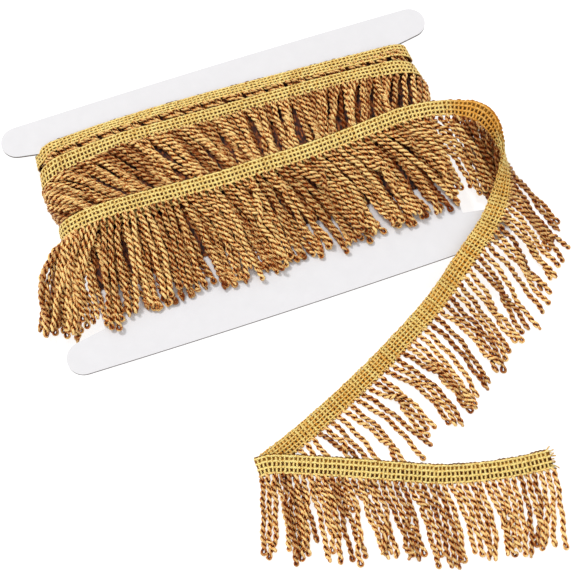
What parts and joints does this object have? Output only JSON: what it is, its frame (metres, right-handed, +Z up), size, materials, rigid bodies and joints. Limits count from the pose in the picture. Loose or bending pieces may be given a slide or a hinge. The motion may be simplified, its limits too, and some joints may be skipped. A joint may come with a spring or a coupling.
{
  "type": "cord fringe trim on a winding card",
  "caption": "Twisted cord fringe with a woven header, wound in turns on a flat white card, its loose end lying in a curve, a diagonal and a fold.",
  "frame": {"origin": "middle of the flat underside on which the wound pack rests, below the middle of the card", "axes": "+Z up from the surface it lies on, +X along the card's long side towards the end where the loose end leaves, +Y across the card away from the loose end"},
  "size_m": [0.2826, 0.3187, 0.0285],
  "materials": {
    "card": "smooth matt white card with a thin grey cut edge",
    "cord": "two-ply twisted cord, soft sheen, old gold with rust brown shadows",
    "header": "woven chain-stitch tape in light gold with rows of small dark eyelets"
  },
  "bodies": {
    "root": {"winding_card": "card", "wound_pack": "cord", "header_tape": "header", "fan_fringe": "cord", "pack_fringe": "cord", "curve_fringe": "cord", "diagonal_fringe": "cord", "front_fringe": "cord", "inner_ends_above": "cord", "inner_ends_below": "cord"}
  },
  "joints": []
}
